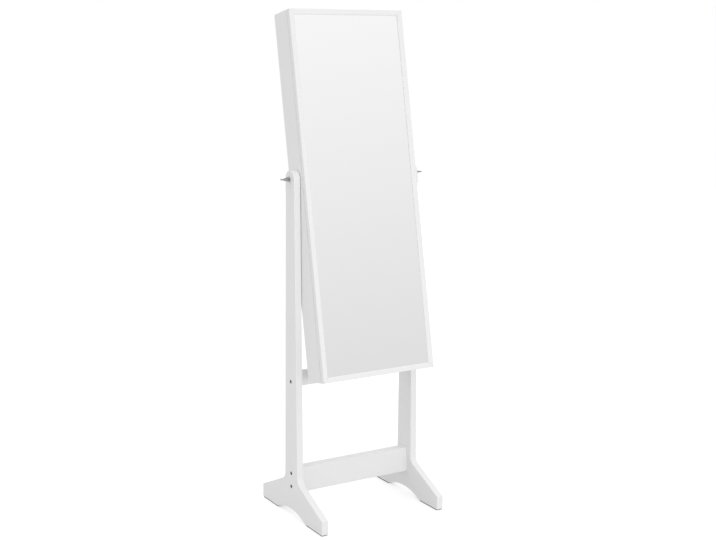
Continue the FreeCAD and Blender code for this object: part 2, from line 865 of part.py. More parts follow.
def makeRingRolls():
    # padded rolls that grip rings between them
    body = caseBody("ring_rolls")
    left = -innerHalf + d.fitGap + d.ringTrayWall + d.ringRollGap
    right = dividerLeft - d.fitGap - d.ringTrayWall - d.ringRollGap
    radius = d.ringRollDiameter / 2
    height = trayTop - d.ringTrayWall - d.ringRollGap - radius
    roll = addPad(body, "Roll", "YZ", left, 1, right - left, circles([(rollCentreY, height)], radius))
    addRow(body, "Rolls", "Z", [roll], d.ringRollCount, rollPitch, reverse=True)
    return body


def makeEarringBoard():
    # a thin board with rows of slots that earring hooks hang in
    body = caseBody("earring_board")
    left = -innerHalf + d.fitGap
    right = dividerLeft - d.fitGap
    boardBack = liningFront - d.earringStandoff
    addPad(body, "Board", "XZ", boardBack, -1, d.earringBoardThick,
           rectangle(left, slotBoardBottom, right, slotBoardTop))
    firstTop = slotBoardTop - d.slotMargin
    rowPitch = (slotBoardTop - slotBoardBottom - d.slotMargin * 2 - d.slotHeight) / (d.slotRows - 1)
    columnPitch = (right - left - d.earringBattenWidth * 2) / d.slotColumns
    slots = []
    for column in range(int(d.slotColumns.value)):
        middle = left + d.earringBattenWidth + columnPitch * (column + 0.5)
        slots.append(rectangle(middle - d.slotLength / 2, firstTop - d.slotHeight,
                               middle + d.slotLength / 2, firstTop))
    firstRow = addPocket(body, "FirstRow", "XZ", boardBack, -1, d.earringBoardThick,
                         together(*slots))
    addRow(body, "Rows", "Z", [firstRow], d.slotRows, rowPitch, reverse=True)
    return body


def makeEarringBattens():
    body = caseBody("earring_battens")
    left = -innerHalf + d.fitGap
    right = dividerLeft - d.fitGap
    width = d.earringBattenWidth
    addPad(body, "Battens", "XZ", liningFront, -1, d.earringStandoff, together(
        rectangle(left, slotBoardBottom, left + width, slotBoardTop),
        rectangle(right - width, slotBoardBottom, right, slotBoardTop),
    ))
    return body


def makeHookRail():
    body = caseBody("hook_rail")
    addPad(body, "Rail", "XZ", liningFront, -1, d.hookRailThick,
           rectangle(dividerRight, hookRailTop - d.hookRailHeight, innerHalf, hookRailTop))
    return body


def makeNecklaceHooks():
    # bent wire hooks: a level reach out of the rail, a slanting run and an upturned tip
    body = caseBody("necklace_hooks")
    first = dividerRight + d.hookMargin
    pitch = (innerHalf - dividerRight - d.hookMargin * 2) / (d.hookCount - 1)
    path = newSketch(body, "HookPath", "YZ", first)
    bendStart = hookRailFront - d.hookReach
    bend = d.hookBend
    drawOutline(path, [
        (hookRailFront, hookHeight),
        (bendStart, hookHeight),
        (bendStart - bend, hookHeight + bend),
        (bendStart - bend, hookHeight + bend + d.hookTip),
    ], closed=False)
    section = newSketch(body, "HookSection", "XZ", hookRailFront)
    polygons([(first, hookHeight)], d.hookWire / 2, int(d.hookWireSides.value))(section)
    wire = body.newObject("PartDesign::AdditivePipe", "Wire")
    wire.Profile = section
    wire.Spine = (path, ["Edge1", "Edge2", "Edge3"])
    wire.Transition = "Right corner"
    path.Visibility = False
    section.Visibility = False
    addRow(body, "Hooks", "X", [wire], d.hookCount, pitch)
    return body


def makeBraceletRod():
    body = caseBody("bracelet_rod")
    end = innerHalf - d.socketFloor - d.fitGap
    addPad(body, "Rod", "YZ", -end, 1, end * 2, circles([(rodY, rodHeight)], d.rodDiameter / 2))
    return body


def makeRodSockets():
    # cups open at the top, so that the rod lifts out
    body = caseBody("rod_sockets")
    place = (rodY, rodHeight)
    bore = d.rodDiameter / 2 + d.boreGap
    cup = addPad(body, "Cup", "YZ", -innerHalf, 1, d.socketLength,
                 circles([place], d.socketDiameter / 2))
    seat = addPocket(body, "Seat", "YZ", d.socketLength - innerHalf, -1,
                     d.socketLength - d.socketFloor, circles([place], bore))
    mouth = addPocket(body, "Mouth", "YZ", d.socketLength - innerHalf, -1,
                      d.socketLength - d.socketFloor,
                      rectangle(rodY - bore, rodHeight, rodY + bore,
                                rodHeight + d.socketDiameter))
    addMirror(body, "RightCup", "YZ", [cup, seat, mouth])
    return body


# ---------------------------------------------------------------- catches and hinges

def makeDoorMagnets():
    body = caseBody("door_magnets")
    places = [(-edgeMiddle, height) for height in magnetHeights]
    addPad(body, "Magnets", "XZ", caseFront, 1, d.magnetLength,
           circles(places, d.magnetDiameter / 2))
    return body


def makeStrikePlates():
    body = caseBody("strike_plates")
    places = [(-edgeMiddle, height) for height in magnetHeights]
    addPad(body, "Plates", "XZ", doorBack, 1, d.strikeThick, circles(places, d.strikeDiameter / 2))
    return body


def makeDoorBumpers():
    body = caseBody("door_bumpers")
    places = [(edgeMiddle * side, height) for side in (-1, 1) for height in bumperHeights]
    addPad(body, "Bumpers", "XZ", caseFront, -1, d.bumperThick,
           circles(places, d.bumperDiameter / 2))
    return body


def addKnuckles(body, name, height, length, tabBack, tabFront):
    # one length of hinge barrel and the tab that joins it to its leaf
    low = height - length / 2
    axis = [(hingeAxisX, hingeAxisY)]
    addPad(body, name + "Tab", "XY", low, 1, length,
           rectangle(caseHalf - d.knuckleGap, tabFront, hingeAxisX, tabBack))
    addPad(body, name + "Barrel", "XY", low, 1, length, circles(axis, d.knuckleDiameter / 2))


def makeHingeLeaves(label, leafBack, middleKnuckle):
    # leaves of the three hinges on one side of the joint
    body = caseBody(label)
    leafFront = leafBack - d.leafThick
    third = d.hingeLength / 3
    length = third - d.fitGap * 2
    addPad(body, "Leaves", "XZ", leafFront, 1, d.leafThick, together(*[
        rectangle(caseHalf - d.leafWidth + d.fitGap, height - d.hingeLength / 2 + d.fitGap,
                  caseHalf, height + d.hingeLength / 2 - d.fitGap)
        for height in hingeHeights
    ]))
    for number, height in enumerate(hingeHeights, start=1):
        if middleKnuckle:
            addKnuckles(body, "Middle%d" % number, height, length, leafBack, leafFront)
        else:
            addKnuckles(body, "Upper%d" % number, height + third, length, leafBack, leafFront)
            addKnuckles(body, "Lower%d" % number, height - third, length, leafBack, leafFront)
    lowest = hingeHeights[-1] - d.hingeLength
    addPocket(body, "PinBores", "XY", lowest, 1, d.cabinetHeight,
              circles([(hingeAxisX, hingeAxisY)], d.pinDiameter / 2 + d.runningGap))
    return body


def makeHingePins():
    body = caseBody("hinge_pins")
    axis = [(hingeAxisX, hingeAxisY)]
    for number, height in enumerate(hingeHeights, start=1):
        low = height - d.hingeLength / 2
        addPad(body, "Pin%d" % number, "XY", low, 1, d.hingeLength,
               circles(axis, d.pinDiameter / 2))
    return body


# ---------------------------------------------------------------- door

def makeDoorPanel():
    body = caseBody("door_panel")
    side = caseHalf - d.frameWall
    addPad(body, "Panel", "XZ", doorBack, -1, d.doorPanelThick,
           rectangle(-side, caseBottom + d.frameWall, side, caseTop - d.frameWall))
    addPocket(body, "LeafRecesses", "XZ", doorBack, -1, d.leafSink, together(*[
        rectangle(caseHalf - d.leafWidth, height - d.hingeLength / 2,
                  side, height + d.hingeLength / 2)
        for height in hingeHeights
    ]))
    return body


def makeMirror():
    body = caseBody("mirror_glass")
    side = caseHalf - d.frameWall - d.glassGap
    margin = d.frameWall + d.glassGap
    addPad(body, "Glass", "XZ", doorPanelFront, -1, d.glassThick,
           rectangle(-side, caseBottom + margin, side, caseTop - margin))
    return body


def mitredStrip(place, width):
    # outline of one strip of the door frame, mitred at both ends
    left, right = -caseHalf, caseHalf
    low, high = caseBottom, caseTop
    outlines = {
        "left": [(left, low), (left + width, low + width), (left + width, high - width), (left, high)],
        "right": [(right, low), (right, high), (right - width, high - width),
                  (right - width, low + width)],
        "top": [(left, high), (left + width, high - width), (right - width, high - width),
                (right, high)],
        "bottom": [(left, low), (right, low), (right - width, low + width),
                   (left + width, low + width)],
    }
    return lambda sketch: drawOutline(sketch, outlines[place])


def isLipEdge(edge, place):
    # the lip's inner front edge
    inner = {
        "left": ("x", d.frameFace - caseHalf),
        "right": ("x", caseHalf - d.frameFace),
        "top": ("z", caseTop - d.frameFace),
        "bottom": ("z", caseBottom + d.frameFace),
    }
    axis, level = inner[place]
    front = glassFront - d.frameLip
    return all(
        abs(getattr(vertex.Point, axis) - level.value) < 0.01
        and abs(vertex.Point.y - front.value) < 0.01
        for vertex in edge.Vertexes
    )


def makeDoorStrip(label, place):
    # an L section: a wall beside the panel and a lip over the edge of the glass
    body = caseBody(label)
    addPad(body, "Wall", "XZ", doorBack, -1, doorBack - glassFront,
           mitredStrip(place, d.frameWall))
    addPad(body, "Lip", "XZ", glassFront, -1, d.frameLip, mitredStrip(place, d.frameFace))
    addChamfer(body, "InnerBevel", d.frameBevel, lambda edge: isLipEdge(edge, place))
    if place == "right":
        addPocket(body, "LeafRecesses", "XZ", doorBack, -1, d.leafSink, together(*[
            rectangle(caseHalf - d.frameWall, height - d.hingeLength / 2,
                      caseHalf, height + d.hingeLength / 2)
            for height in hingeHeights
        ]))
    return body


# ---------------------------------------------------------------- whole object

makeSideFrame("left_side_frame", -1)
makeSideFrame("right_side_frame", 1)
makeRail("lower_rail", d.lowerRailThick, d.lowerRailBottom,
         d.lowerRailBottom + d.lowerRailHeight, boltHeights[:2], [])
makeRail("middle_rail", d.middleRailThick, middleRailTop - d.middleRailHeight,
         middleRailTop, boltHeights[2:], [railDowelHeight])
makeRailBolts()
makeBarrelNuts()
makeRailDowels()
makeFootPads()
makeRings("outer_washers", newBody, -frameOuter, d.outerWasherThick,
          d.outerWasherDiameter / 2, d.screwDiameter / 2 + d.boreGap, towards=-1)

makeHandScrew("left_hand_screw", -1, d.leftWingTurn)
makeHandScrew("right_hand_screw", 1, d.rightWingTurn)

makeSidePanel("left_side_panel", -1)
makeSidePanel("right_side_panel", 1)
makeEndPanel("top_panel", innerTop, 1)
makeEndPanel("bottom_panel", innerBottom, -1)
makeCaseDowels()
makeBackPanel()
makeLining()
for label, shelfTop in shelfTops.items():
    makeShelf(label, shelfTop)
makeGuardStrips()
makeDivider()
makeRingTray()
makeRingRolls()
makeEarringBoard()
makeEarringBattens()
makeHookRail()
makeNecklaceHooks()
makeBraceletRod()
makeRodSockets()
makePivotInserts()
makeRings("spacer_washers", caseBody, -caseHalf - d.sideGap + d.fitGap, d.sideGap - d.fitGap,
          d.spacerDiameter / 2, d.screwDiameter / 2 + d.boreGap)
makeDoorMagnets()
makeDoorBumpers()
makeHingeLeaves("case_hinge_leaves", caseLeafBack, False)
makeHingePins()

makeDoorPanel()
makeMirror()
makeDoorStrip("door_left_stile", "left")
makeDoorStrip("door_right_stile", "right")
makeDoorStrip("door_top_rail", "top")
makeDoorStrip("door_bottom_rail", "bottom")
makeHingeLeaves("door_hinge_leaves", doorLeafFront + d.leafThick, True)
makeStrikePlates()

doc.recompute()

# ---------------------------------------------------------------- check and write

for item in doc.Objects:
    if "Invalid" in item.State or "Error" in item.State:
        raise RuntimeError("%s is %s" % (item.Name, item.State))
for before, after in cuts:
    if after.Shape.Volume > before.Shape.Volume - 1e-3:
        raise RuntimeError("%s cuts nothing" % after.Name)
for body in bodies:
    if body.Shape.isNull() or not body.Shape.isValid():
        raise RuntimeError("%s has no valid shape" % body.Label)

os.makedirs("parts", exist_ok=True)
for body in bodies:
    body.Shape.exportStep("parts/%s.step" % body.Label)
    box = body.Shape.BoundBox
    print("%-20s %2d solids %10.1f mm3  x %7.1f %7.1f  y %7.1f %7.1f  z %7.1f %7.1f" % (
        body.Label, len(body.Shape.Solids), body.Shape.Volume,
        box.XMin, box.XMax, box.YMin, box.YMax, box.ZMin, box.ZMax))
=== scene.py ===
import json
import math
import random
import bmesh
import bpy
from mathutils import Matrix, Vector, noise


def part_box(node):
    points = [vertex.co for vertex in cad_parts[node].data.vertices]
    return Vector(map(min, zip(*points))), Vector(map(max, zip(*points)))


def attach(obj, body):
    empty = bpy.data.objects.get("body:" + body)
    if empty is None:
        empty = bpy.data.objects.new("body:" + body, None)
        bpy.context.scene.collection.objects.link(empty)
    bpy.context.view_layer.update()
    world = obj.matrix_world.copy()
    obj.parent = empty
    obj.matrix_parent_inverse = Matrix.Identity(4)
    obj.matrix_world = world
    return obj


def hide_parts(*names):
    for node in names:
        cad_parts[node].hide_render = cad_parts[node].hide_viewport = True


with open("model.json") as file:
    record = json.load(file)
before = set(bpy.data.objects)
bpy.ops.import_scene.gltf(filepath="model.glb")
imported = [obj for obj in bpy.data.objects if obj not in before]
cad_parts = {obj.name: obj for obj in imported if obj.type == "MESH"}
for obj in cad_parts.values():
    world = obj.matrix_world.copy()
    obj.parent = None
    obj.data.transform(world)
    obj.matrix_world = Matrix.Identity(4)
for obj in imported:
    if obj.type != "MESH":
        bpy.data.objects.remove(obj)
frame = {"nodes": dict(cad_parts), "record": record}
nodes = frame["nodes"]
bodyOf = {node: body for body, names in frame["record"]["behaviour"]["bodies"].items() for node in names}
slotOf = {row["node"]: row["material_slot"] for row in frame["record"]["subparts"]}
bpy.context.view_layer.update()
for name in ("Cube", "Light", "Camera"):
    if name in bpy.data.objects:
        bpy.data.objects.remove(bpy.data.objects[name])
print("frame loaded:", len(nodes), "nodes")

# the case hangs from the hand screws and leans back
pivot = Vector((0, 0, 0.993))
lean = math.radians(10.8)
caseTurn = Matrix.Translation(pivot) @ Matrix.Rotation(-lean, 4, "X")   # case places to the frame


# shader groups

def addNode(tree, kind, **settings):
    node = tree.nodes.new(kind)
    for key, value in settings.items():
        setattr(node, key, value)
    return node


def newGroup(name, inputs, outputs):
    group = bpy.data.node_groups.new(name, "ShaderNodeTree")
    for label, kind, value in inputs:
        socket = group.interface.new_socket(label, in_out="INPUT", socket_type=kind)
        socket.default_value = value
    for label, kind in outputs:
        group.interface.new_socket(label, in_out="OUTPUT", socket_type=kind)
    return group, group.nodes.new("NodeGroupInput"), group.nodes.new("NodeGroupOutput")


def makeToneGroup():
    # a slow drift of a colour's lightness over a surface
    group, inlet, outlet = newGroup(
        "toneDrift",
        [("Color", "NodeSocketColor", (0.8, 0.8, 0.8, 1)), ("Amount", "NodeSocketFloat", 0.05),
         ("Scale", "NodeSocketFloat", 6)],
        [("Color", "NodeSocketColor")])
    link = group.links.new
    place = addNode(group, "ShaderNodeTexCoord")
    slow = addNode(group, "ShaderNodeTexNoise")
    slow.inputs["Detail"].default_value = 4
    link(place.outputs["Object"], slow.inputs["Vector"])
    link(inlet.outputs["Scale"], slow.inputs["Scale"])
    centred = addNode(group, "ShaderNodeMath", operation="SUBTRACT")
    link(slow.outputs["Fac"], centred.inputs[0])
    centred.inputs[1].default_value = 0.5
    scaled = addNode(group, "ShaderNodeMath", operation="MULTIPLY_ADD")
    link(centred.outputs[0], scaled.inputs[0])
    link(inlet.outputs["Amount"], scaled.inputs[1])
    scaled.inputs[2].default_value = 1
    tinted = addNode(group, "ShaderNodeVectorMath", operation="SCALE")
    link(inlet.outputs["Color"], tinted.inputs[0])
    link(scaled.outputs[0], tinted.inputs["Scale"])
    link(tinted.outputs[0], outlet.inputs["Color"])
    return group


def makeReliefGroup():
    # fine relief from two sizes of noise, for lacquer, pile and castings
    group, inlet, outlet = newGroup(
        "fineRelief",
        [("Coarse", "NodeSocketFloat", 300), ("Fine", "NodeSocketFloat", 1500),
         ("Fine Share", "NodeSocketFloat", 0.4), ("Stretch", "NodeSocketVector", (1, 1, 1))],
        [("Height", "NodeSocketFloat"), ("Mask", "NodeSocketFloat")])
    link = group.links.new
    place = addNode(group, "ShaderNodeTexCoord")
    stretched = addNode(group, "ShaderNodeVectorMath", operation="MULTIPLY")
    link(place.outputs["Object"], stretched.inputs[0])
    link(inlet.outputs["Stretch"], stretched.inputs[1])
    coarse = addNode(group, "ShaderNodeTexNoise")
    coarse.inputs["Detail"].default_value = 2
    link(stretched.outputs[0], coarse.inputs["Vector"])
    link(inlet.outputs["Coarse"], coarse.inputs["Scale"])
    fine = addNode(group, "ShaderNodeTexNoise")
    fine.inputs["Detail"].default_value = 1
    link(stretched.outputs[0], fine.inputs["Vector"])
    link(inlet.outputs["Fine"], fine.inputs["Scale"])
    blend = addNode(group, "ShaderNodeMix", data_type="FLOAT")
    link(inlet.outputs["Fine Share"], blend.inputs["Factor"])
    link(coarse.outputs["Fac"], blend.inputs["A"])
    link(fine.outputs["Fac"], blend.inputs["B"])
    link(blend.outputs["Result"], outlet.inputs["Height"])
    link(fine.outputs["Fac"], outlet.inputs["Mask"])
    return group


toneDrift = makeToneGroup()
fineRelief = makeReliefGroup()


def makeMaterial(name, look):
    # one finish: a drifting colour, a roughness that varies with it, and fine relief
    material = bpy.data.materials.new(name)
    material.use_nodes = True
    tree = material.node_tree
    shader = tree.nodes["Principled BSDF"]
    link = tree.links.new
    tone = addNode(tree, "ShaderNodeGroup", node_tree=toneDrift)
    tone.inputs["Color"].default_value = (*look["colour"], 1)
    tone.inputs["Amount"].default_value = look["drift"]
    tone.inputs["Scale"].default_value = look["driftScale"]
    link(tone.outputs["Color"], shader.inputs["Base Color"])
    relief = addNode(tree, "ShaderNodeGroup", node_tree=fineRelief)
    relief.inputs["Coarse"].default_value = look["coarse"]
    relief.inputs["Fine"].default_value = look["fine"]
    relief.inputs["Fine Share"].default_value = look.get("fineShare", 0.4)
    relief.inputs["Stretch"].default_value = look.get("stretch", (1, 1, 1))
    rough = addNode(tree, "ShaderNodeMapRange")
    rough.inputs["To Min"].default_value = look["rough"][0]
    rough.inputs["To Max"].default_value = look["rough"][1]
    link(relief.outputs["Mask"], rough.inputs["Value"])
    link(rough.outputs["Result"], shader.inputs["Roughness"])
    bump = addNode(tree, "ShaderNodeBump")
    bump.inputs["Strength"].default_value = look["bump"]
    bump.inputs["Distance"].default_value = look["depth"]
    link(relief.outputs["Height"], bump.inputs["Height"])
    link(bump.outputs["Normal"], shader.inputs["Normal"])
    for socket, value in look.get("sockets", {}).items():
        shader.inputs[socket].default_value = value
    return material


finishes = {
    "white_paint": {
        "colour": (0.83, 0.83, 0.83), "drift": 0.02, "driftScale": 5,
        "coarse": 420, "fine": 1500, "rough": (0.36, 0.46), "bump": 0.25, "depth": 0.00008,
    },
    "mirror": {
        "colour": (0.902, 0.902, 0.902), "drift": 0.004, "driftScale": 2,
        "coarse": 3, "fine": 900, "fineShare": 0, "rough": (0.0, 0.006), "bump": 0.02, "depth": 0.00002,
        # the emission is a painted glow, seen only by diffuse rays, that stands in for the light the
        # mirror reflects onto its neighbours
        "sockets": {"Metallic": 1, "Emission Strength": 0.34},
    },
    "velvet": {
        "colour": (0.02, 0.02, 0.022), "drift": 2.2, "driftScale": 14,
        "coarse": 520, "fine": 2300, "fineShare": 0.6, "rough": (0.8, 1), "bump": 0.9, "depth": 0.0005,
        "sockets": {"Sheen Weight": 0.45, "Sheen Roughness": 0.35, "Sheen Tint": (0.5, 0.5, 0.55, 1),
                    "Specular IOR Level": 0.1},
    },
    "padded_velvet": {
        "colour": (0.022, 0.022, 0.025), "drift": 2, "driftScale": 40,
        "coarse": 520, "fine": 2300, "fineShare": 0.6, "rough": (0.8, 1), "bump": 0.9, "depth": 0.0005,
        "sockets": {"Sheen Weight": 0.6, "Sheen Roughness": 0.35, "Sheen Tint": (0.55, 0.55, 0.6, 1),
                    "Specular IOR Level": 0.1},
    },
    "felt": {
        "colour": (0.035, 0.035, 0.037), "drift": 0.5, "driftScale": 120,
        "coarse": 700, "fine": 2600, "fineShare": 0.6, "rough": (0.85, 1), "bump": 0.8, "depth": 0.0006,
        "sockets": {"Sheen Weight": 0.3},
    },
    "screw_steel": {
        "colour": (0.34, 0.34, 0.35), "drift": 0.12, "driftScale": 90,
        "coarse": 500, "fine": 2500, "rough": (0.22, 0.36), "bump": 0.15, "depth": 0.00006,
        "stretch": (1, 6, 6), "sockets": {"Metallic": 1},
    },
    "bolt_steel": {
        "colour": (0.07, 0.07, 0.075), "drift": 0.3, "driftScale": 150,
        "coarse": 900, "fine": 2600, "rough": (0.3, 0.5), "bump": 0.2, "depth": 0.00005,
        "sockets": {"Metallic": 0.9},
    },
    "hidden_steel": {
        "colour": (0.45, 0.45, 0.46), "drift": 0.15, "driftScale": 120,
        "coarse": 700, "fine": 2500, "rough": (0.3, 0.45), "bump": 0.2, "depth": 0.00006,
        "sockets": {"Metallic": 1},
    },
    "chrome": {
        "colour": (0.62, 0.62, 0.63), "drift": 0.03, "driftScale": 60,
        "coarse": 120, "fine": 1500, "rough": (0.06, 0.13), "bump": 0.03, "depth": 0.00004,
        "sockets": {"Metallic": 1},
    },
    "nylon": {
        "colour": (0.72, 0.72, 0.69), "drift": 0.05, "driftScale": 60,
        "coarse": 600, "fine": 2000, "rough": (0.4, 0.55), "bump": 0.15, "depth": 0.00008,
        "sockets": {"Subsurface Weight": 0.1},
    },
    "beech": {
        "colour": (0.52, 0.34, 0.19), "drift": 0.35, "driftScale": 60,
        "coarse": 260, "fine": 1400, "rough": (0.55, 0.75), "bump": 0.4, "depth": 0.0002,
        "stretch": (0.08, 1, 1),
    },
    "bumper_rubber": {
        "colour": (0.7, 0.7, 0.7), "drift": 0.05, "driftScale": 80,
        "coarse": 500, "fine": 1800, "rough": (0.3, 0.45), "bump": 0.1, "depth": 0.00005,
        "sockets": {"Transmission Weight": 0.35},
    },
}
materials = {slot: makeMaterial(slot, look) for slot, look in finishes.items()}


def paintMirrorGlow(material):
    # a painted glow: the mirror emits light that only diffuse rays meet, standing in for the light it
    # reflects on what stands beside it
    tree = material.node_tree
    path = addNode(tree, "ShaderNodeLightPath")
    tree.links.new(path.outputs["Is Diffuse Ray"], tree.nodes["Principled BSDF"].inputs["Emission Color"])


paintMirrorGlow(materials["mirror"])
for name, node in nodes.items():
    node.data.materials.clear()
    node.data.materials.append(materials[slotOf[name]])
print("finishes ready:", len(materials))


# helpers for pieces

def only(piece):
    bpy.ops.object.select_all(action="DESELECT")
    piece.select_set(True)
    bpy.context.view_layer.objects.active = piece


def mount(piece, *replaced):
    # the piece rides where its nodes ride and takes their finish
    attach(piece, bodyOf[replaced[0]])
    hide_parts(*replaced)
    piece.data.materials.clear()
    piece.data.materials.append(materials[slotOf[replaced[0]]])


easing = {
    "weldWithin": 0.00001,
    "flatWithin": 0.3,      # faces that differ by less become one, degrees
    "easedFrom": 40,        # edges that turn by less than this stay as they are, degrees
    "smoothUpTo": 35,       # and across these the shading runs on
}


def softenNode(nodeName, pieceName, edge):
    # the node's own form with its sharp edges eased, as sanding and paint leave them
    piece = bpy.data.objects.new(pieceName, nodes[nodeName].data.copy())
    bpy.context.scene.collection.objects.link(piece)
    only(piece)
    bpy.ops.object.mode_set(mode="EDIT")
    bpy.ops.mesh.select_all(action="SELECT")
    bpy.ops.mesh.remove_doubles(threshold=easing["weldWithin"])
    bpy.ops.mesh.dissolve_limited(angle_limit=math.radians(easing["flatWithin"]))
    bpy.ops.object.mode_set(mode="OBJECT")
    bevel = piece.modifiers.new("Edges", "BEVEL")
    bevel.limit_method = "ANGLE"
    bevel.angle_limit = math.radians(easing["easedFrom"])
    bevel.width = edge["width"]
    bevel.segments = edge["segments"]
    bevel.use_clamp_overlap = True
    bpy.ops.object.modifier_apply(modifier=bevel.name)
    bpy.ops.object.shade_smooth_by_angle(angle=math.radians(easing["smoothUpTo"]))
    weighted = piece.modifiers.new("Normals", "WEIGHTED_NORMAL")
    weighted.keep_sharp = True
    bpy.ops.object.modifier_apply(modifier=weighted.name)
    mount(piece, nodeName)


# painted boards

boardEdges = {
    "frames": {
        "edge": {"width": 0.0016, "segments": 3},
        "nodes": {"left_side_frame": "leftSideFrame", "right_side_frame": "rightSideFrame",
                  "lower_rail": "lowerRail", "middle_rail": "middleRail"},
    },
    "case": {
        "edge": {"width": 0.0007, "segments": 2},
        "nodes": {"left_side_panel": "leftSidePanel", "right_side_panel": "rightSidePanel",
                  "top_panel": "topPanel", "bottom_panel": "bottomPanel",
                  "top_shelf": "topShelf", "middle_shelf": "middleShelf",
                  "lower_shelf": "lowerShelf", "bottom_shelf": "bottomShelf",
                  "guard_strips": "guardStrips", "column_divider": "columnDivider"},
    },
    "door": {
        "edge": {"width": 0.0008, "segments": 2},
        "nodes": {"door_left_stile": "doorLeftStile", "door_right_stile": "doorRightStile",
                  "door_top_rail": "doorTopRail", "door_bottom_rail": "doorBottomRail"},
    },
    "velvet boards": {
        "edge": {"width": 0.0011, "segments": 4},
        "nodes": {"velvet_lining": "velvetLining", "ring_tray": "ringTray", "hook_rail": "hookRail",
                  "earring_battens": "earringBattens"},
    },
    "fittings": {
        "edge": {"width": 0.0004, "segments": 2},
        "nodes": {"rail_bolts": "railBolts", "earring_board": "earringBoard", "foot_pads": "footPads",
                  "bracelet_rod": "braceletRod", "rod_sockets": "rodSockets",
                  "door_magnets": "doorMagnets",
                  "spacer_washers": "spacerWashers", "pivot_inserts": "pivotInserts",
                  "barrel_nuts": "barrelNuts",
                  "case_hinge_leaves": "caseHingeLeaves", "door_hinge_leaves": "doorHingeLeaves"},
    },
}
for group in boardEdges.values():
    for nodeName, pieceName in group["nodes"].items():
        softenNode(nodeName, pieceName, group["edge"])
print("edges eased")


# turned and bent pieces

def startDisc(name, radius, sides):
    # a disc at the origin that faces +Z, open for editing
    bpy.ops.object.select_all(action="DESELECT")
    bpy.ops.mesh.primitive_circle_add(vertices=sides, radius=radius, fill_type="NGON")
    piece = bpy.context.active_object
    piece.name = name
    bpy.ops.object.mode_set(mode="EDIT")
    bpy.ops.mesh.select_mode(type="FACE")
    bpy.ops.mesh.select_all(action="SELECT")
    return piece


def growTo(ring, before):
    # the face that is selected moves up along Z and becomes wider or narrower
    # a ring is (height, radius), or (height, half width, half thickness) where it is flattened
    bpy.ops.mesh.extrude_region_move(TRANSFORM_OT_translate={"value": (0, 0, ring[0] - before[0])})
    scale = (ring[1] / before[1], ring[-1] / before[-1], 1)
    bpy.ops.transform.resize(value=scale, center_override=(0, 0, ring[0]))


def finishForm(angle):
    # the shading runs on across edges that turn by less than the angle
    bpy.ops.mesh.select_all(action="SELECT")
    bpy.ops.mesh.normals_make_consistent(inside=False)
    bpy.ops.object.mode_set(mode="OBJECT")
    bpy.ops.object.shade_smooth_by_angle(angle=math.radians(angle))


def turnForm(name, rings, look):
    # rings from the bottom up
    piece = startDisc(name, rings[0][1], look["sides"])
    bpy.ops.transform.translate(value=(0, 0, rings[0][0]))
    for before, ring in zip(rings, rings[1:]):
        growTo(ring, before)
    finishForm(look["smoothUpTo"])
    return piece


def layOut(pattern, name, places, within=caseTurn):
    # one copy of the pattern at each place, joined as one piece
    # the places are the case's own, or the frame's where within is no turn at all
    copies = []
    for place in places:
        copy = bpy.data.objects.new(name, pattern.data.copy())
        bpy.context.scene.collection.objects.link(copy)
        copy.data.transform(within @ place)
        copies.append(copy)
    bpy.data.objects.remove(pattern)
    piece = copies[0]
    only(piece)
    for copy in copies:
        copy.select_set(True)
    if len(copies) > 1:
        bpy.ops.object.join()
    piece.name = name
    return piece


def facing(at, axis):
    # at a place, with +Z of the pattern turned to face the axis
    turn = Vector((0, 0, 1)).rotation_difference(Vector(axis)).to_matrix().to_4x4()
    return Matrix.Translation(at) @ turn


# hand screws: shank, grooved collar, neck and a paddle to grip, cast in one

handScrew = {
    # height from the outer face of the post, and radius
    "shank": [(-0.0365, 0.0034), (-0.0357, 0.004), (0.0015, 0.004)],
    "collar": [(0.0015, 0.005), (0.002, 0.0056), (0.0042, 0.0058), (0.0044, 0.0056), (0.005, 0.0056),
               (0.0052, 0.006), (0.0073, 0.0065), (0.008, 0.0065), (0.0087, 0.0061), (0.009, 0.0054)],
    "neck": [(0.0091, 0.0047), (0.0102, 0.0044), (0.0142, 0.0044), (0.016, 0.0042), (0.0172, 0.0036)],
    # height, half its width and half its thickness
    "paddle": [(0.0182, 0.0033, 0.0027), (0.0192, 0.0044, 0.0022), (0.0206, 0.0066, 0.0021),
               (0.0222, 0.0088, 0.002), (0.0238, 0.0099, 0.0019), (0.0252, 0.0098, 0.0018),
               (0.0263, 0.0086, 0.0016), (0.0271, 0.0065, 0.0012), (0.0274, 0.004, 0.0008)],
    "sides": 40, "smoothUpTo": 35,
    "turn": {"left": 88, "right": 80},      # the paddle about its axis, from upright, degrees
}
outerWasher = {
    "rings": [(0, 0.01), (0.0011, 0.01), (0.0014, 0.0098), (0.0015, 0.0094), (0.0015, 0.005)],
    "sides": 48, "smoothUpTo": 35,
}


def makeHandScrews():
    look = handScrew
    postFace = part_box("right_side_frame")[1][0]
    rings = look["shank"] + look["collar"] + look["neck"] + look["paddle"]
    washerPlaces = []
    for side, name in ((-1, "left"), (1, "right")):
        place = facing((postFace * side, pivot.y, pivot.z), (side, 0, 0))
        washerPlaces.append(place)
        screw = turnForm("handScrew", rings, look)
        spin = Matrix.Rotation(math.radians(look["turn"][name]), 4, "Z")
        piece = layOut(screw, name + "HandScrew", [place @ spin], Matrix())
        mount(piece, name + "_hand_screw")
    washer = turnForm("outerWasher", outerWasher["rings"], outerWasher)
    mount(layOut(washer, "outerWashers", washerPlaces, Matrix()), "outer_washers")


makeHandScrews()
print("hand screws made")

# ring rolls: foam rolls in velvet, fuller in the middle, drawn in at their ends

